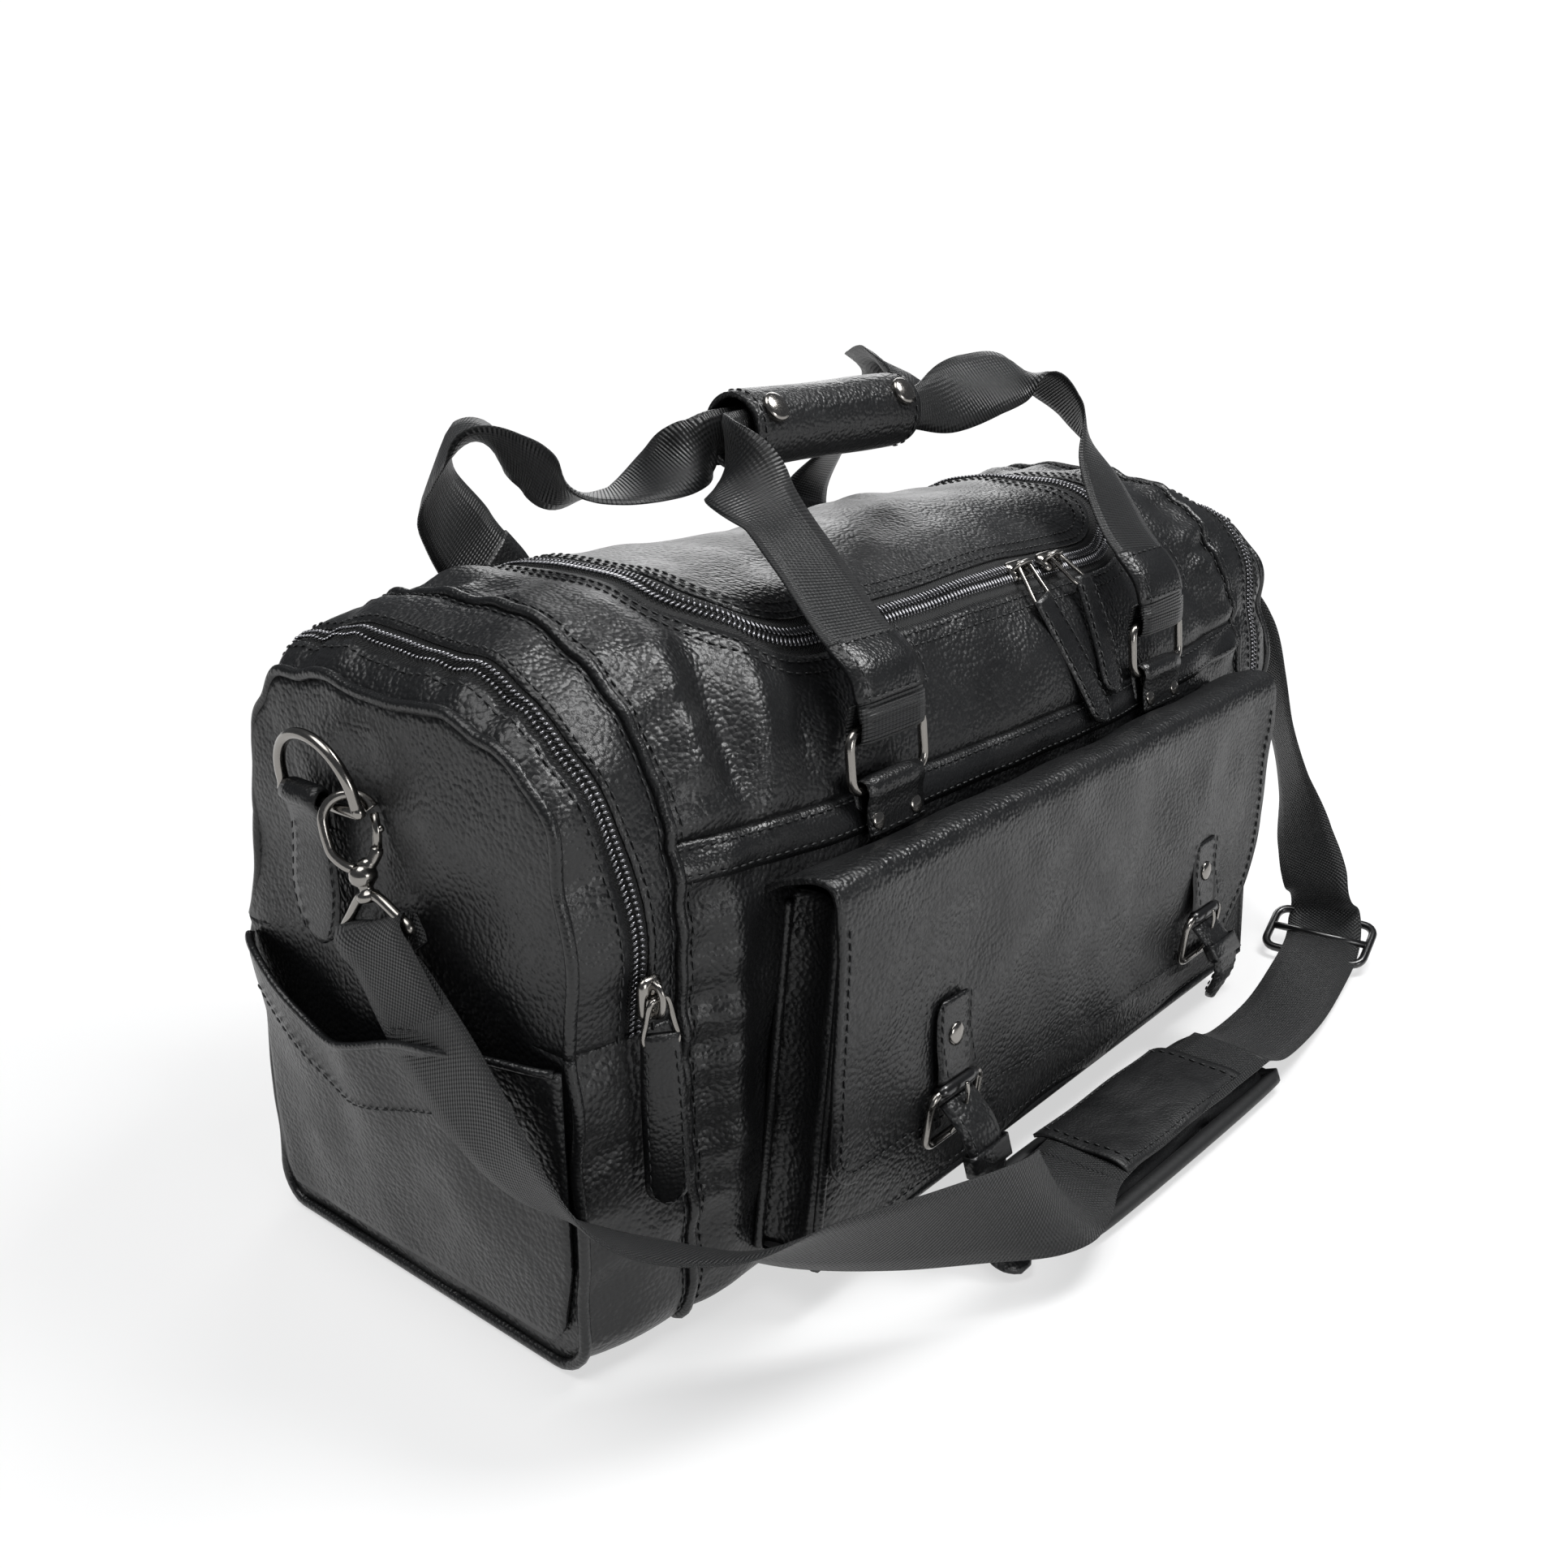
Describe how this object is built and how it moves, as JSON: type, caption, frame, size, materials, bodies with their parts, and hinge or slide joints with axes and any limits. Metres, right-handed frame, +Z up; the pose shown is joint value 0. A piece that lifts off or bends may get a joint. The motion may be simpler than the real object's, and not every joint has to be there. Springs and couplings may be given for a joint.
{
  "type": "leather travel holdall",
  "caption": "Soft leather holdall: zipped U-shaped lid, drop-down end pockets, buckled front pocket, webbing grab handles in a rolled grip and a padded shoulder strap.",
  "frame": {"origin": "centre of the flat underside, where the bag rests", "axes": "+X along the bag's length, to the right seen from the pocket side; -Y is the front with the buckled pocket; +Z is up"},
  "size_m": [0.5777, 0.3102, 0.3186],
  "materials": {
    "leather": "soft pebbled black leather, satin sheen",
    "webbing": "black woven webbing",
    "gunmetal": "polished gunmetal plating",
    "zip_teeth": "coil zip with silvered teeth on black tape",
    "black_metal": "black lacquered wire"
  },
  "bodies": {
    "shell": {"bottom_panel": "leather", "front_panel": "leather", "back_panel": "leather", "yoke": "leather", "zip_tape_body": "zip_teeth", "flap_top": "leather", "front_pocket": "leather", "end_wall_left": "leather", "end_wall_right": "leather", "end_base_left": "leather", "end_base_right": "leather", "end_zip_left": "zip_teeth", "end_zip_right": "zip_teeth", "slip_pocket_left": "leather", "slip_pocket_right": "leather", "ring_tab_front_left": "leather", "ring_tab_front_right": "leather", "ring_tab_back_left": "leather", "ring_tab_back_right": "leather", "strap_left": "webbing", "strap_right": "webbing", "shoulder_pad": "leather", "tri_glide": "black_metal"},
    "lid": {"lid_panel": "leather", "zip_tape_lid": "zip_teeth"},
    "handle_front": {"handle_front": "webbing", "handle_ring_front_left": "gunmetal", "handle_ring_front_right": "gunmetal", "grip_wrap": "leather"},
    "handle_back": {"handle_back": "webbing", "handle_ring_back_left": "gunmetal", "handle_ring_back_right": "gunmetal"},
    "pocket_flap": {"pocket_flap": "leather", "closure_tab_left": "leather", "closure_tab_right": "leather"},
    "zip_slider_left": {"zip_slider_left": "gunmetal"},
    "zip_pull_left": {"zip_pull_left": "leather"},
    "zip_slider_right": {"zip_slider_right": "gunmetal"},
    "zip_pull_right": {"zip_pull_right": "leather"},
    "closure_left": {"buckle_left": "gunmetal", "strap_end_left": "leather"},
    "closure_right": {"buckle_right": "gunmetal", "strap_end_right": "leather"},
    "end_door_left": {"end_door_left": "leather", "d_ring_tab_left": "leather"},
    "end_slider_left": {"end_slider_left": "gunmetal"},
    "end_pull_left": {"end_pull_left": "leather"},
    "d_ring_left": {"d_ring_left": "gunmetal"},
    "snap_hook_left": {"snap_hook_left": "gunmetal"},
    "hook_gate_left": {"hook_gate_left": "gunmetal"},
    "end_door_right": {"end_door_right": "leather", "d_ring_tab_right": "leather"},
    "end_slider_right": {"end_slider_right": "gunmetal"},
    "end_pull_right": {"end_pull_right": "leather"},
    "d_ring_right": {"d_ring_right": "gunmetal"},
    "snap_hook_right": {"snap_hook_right": "gunmetal"},
    "hook_gate_right": {"hook_gate_right": "gunmetal"}
  },
  "joints": [
    {"name": "lid_hinge", "type": "hinge", "parent": "shell", "child": "lid", "pos_m": [0, 0.06624, 0.23341], "axis": [-1, 0, 0], "range_deg": [0, 90]},
    {"name": "handle_front_swing", "type": "hinge", "parent": "shell", "child": "handle_front", "pos_m": [0, -0.10747, 0.1811], "axis": [1, 0, 0], "range_deg": [0, 82], "deforming": ["grip_wrap"]},
    {"name": "handle_back_swing", "type": "hinge", "parent": "shell", "child": "handle_back", "pos_m": [0, 0.10747, 0.1811], "axis": [-1, 0, 0], "range_deg": [0, 82]},
    {"name": "zip_slider_left_run", "type": "slide", "parent": "lid", "child": "zip_slider_left", "axis": [1, 0, 0], "range_m": [-0.085, 0]},
    {"name": "zip_pull_left_swing", "type": "hinge", "parent": "zip_slider_left", "child": "zip_pull_left", "pos_m": [0.036, -0.07434, 0.23517], "axis": [-1, 0, 0], "range_deg": [0, 120]},
    {"name": "zip_slider_right_run", "type": "slide", "parent": "lid", "child": "zip_slider_right", "axis": [1, 0, 0], "range_m": [0, 0.007]},
    {"name": "zip_pull_right_swing", "type": "hinge", "parent": "zip_slider_right", "child": "zip_pull_right", "pos_m": [0.062, -0.07404, 0.23518], "axis": [-1, 0, 0], "range_deg": [0, 120]},
    {"name": "pocket_flap_hinge", "type": "hinge", "parent": "shell", "child": "pocket_flap", "pos_m": [0, -0.1348, 0.1655], "axis": [-1, 0, 0], "range_deg": [0, 90]},
    {"name": "closure_left_swing", "type": "hinge", "parent": "pocket_flap", "child": "closure_left", "pos_m": [-0.103, -0.142, 0.069], "axis": [-1, 0, 0], "range_deg": [0, 60]},
    {"name": "closure_right_swing", "type": "hinge", "parent": "pocket_flap", "child": "closure_right", "pos_m": [0.103, -0.142, 0.069], "axis": [-1, 0, 0], "range_deg": [0, 60]},
    {"name": "end_door_left_fold", "type": "hinge", "parent": "shell", "child": "end_door_left", "pos_m": [-0.251, 0, 0.124], "axis": [0, -1, 0], "range_deg": [0, 45], "deforming": ["strap_left"]},
    {"name": "end_slider_left_run", "type": "slide", "parent": "shell", "child": "end_slider_left", "axis": [0, 0, 1], "range_m": [0, 0.03]},
    {"name": "end_pull_left_swing", "type": "hinge", "parent": "end_slider_left", "child": "end_pull_left", "pos_m": [-0.2245, -0.10725, 0.13964], "axis": [-1, 0, 0], "range_deg": [0, 140]},
    {"name": "d_ring_left_tilt", "type": "hinge", "parent": "end_door_left", "child": "d_ring_left", "pos_m": [-0.2588, 0.0165, 0.187], "axis": [0, -1, 0], "range_deg": [0, 60]},
    {"name": "snap_hook_left_swing", "type": "hinge", "parent": "end_door_left", "child": "snap_hook_left", "pos_m": [-0.2588, 0.0165, 0.187], "axis": [0, 1, 0], "range_deg": [0, 35]},
    {"name": "hook_gate_left_spring", "type": "hinge", "parent": "snap_hook_left", "child": "hook_gate_left", "pos_m": [-0.25493, -0.00778, 0.17493], "axis": [-0.7402, -0.6152, 0.2713], "range_deg": [0, 12], "stiffness_Nm_per_rad": 0.02, "springref_deg": -11.46},
    {"name": "end_door_right_fold", "type": "hinge", "parent": "shell", "child": "end_door_right", "pos_m": [0.251, 0, 0.124], "axis": [0, 1, 0], "range_deg": [0, 45], "deforming": ["strap_right"]},
    {"name": "end_slider_right_run", "type": "slide", "parent": "shell", "child": "end_slider_right", "axis": [0, 0, 1], "range_m": [0, 0.03]},
    {"name": "end_pull_right_swing", "type": "hinge", "parent": "end_slider_right", "child": "end_pull_right", "pos_m": [0.2245, -0.10725, 0.13964], "axis": [-1, 0, 0], "range_deg": [0, 140]},
    {"name": "d_ring_right_tilt", "type": "hinge", "parent": "end_door_right", "child": "d_ring_right", "pos_m": [0.2588, 0.0165, 0.187], "axis": [0, 1, 0], "range_deg": [0, 60]},
    {"name": "snap_hook_right_swing", "type": "hinge", "parent": "end_door_right", "child": "snap_hook_right", "pos_m": [0.2588, 0.0165, 0.187], "axis": [0, -1, 0], "range_deg": [0, 35]},
    {"name": "hook_gate_right_spring", "type": "hinge", "parent": "snap_hook_right", "child": "hook_gate_right", "pos_m": [0.25493, -0.00778, 0.17493], "axis": [-0.7402, 0.6152, -0.2713], "range_deg": [0, 12], "stiffness_Nm_per_rad": 0.02, "springref_deg": -11.46}
  ],
  "couplings": [
    {"joint": "handle_front_swing", "follows": "lid_hinge", "ratio": 0.9},
    {"joint": "handle_back_swing", "follows": "lid_hinge", "ratio": 0.9}
  ]
}
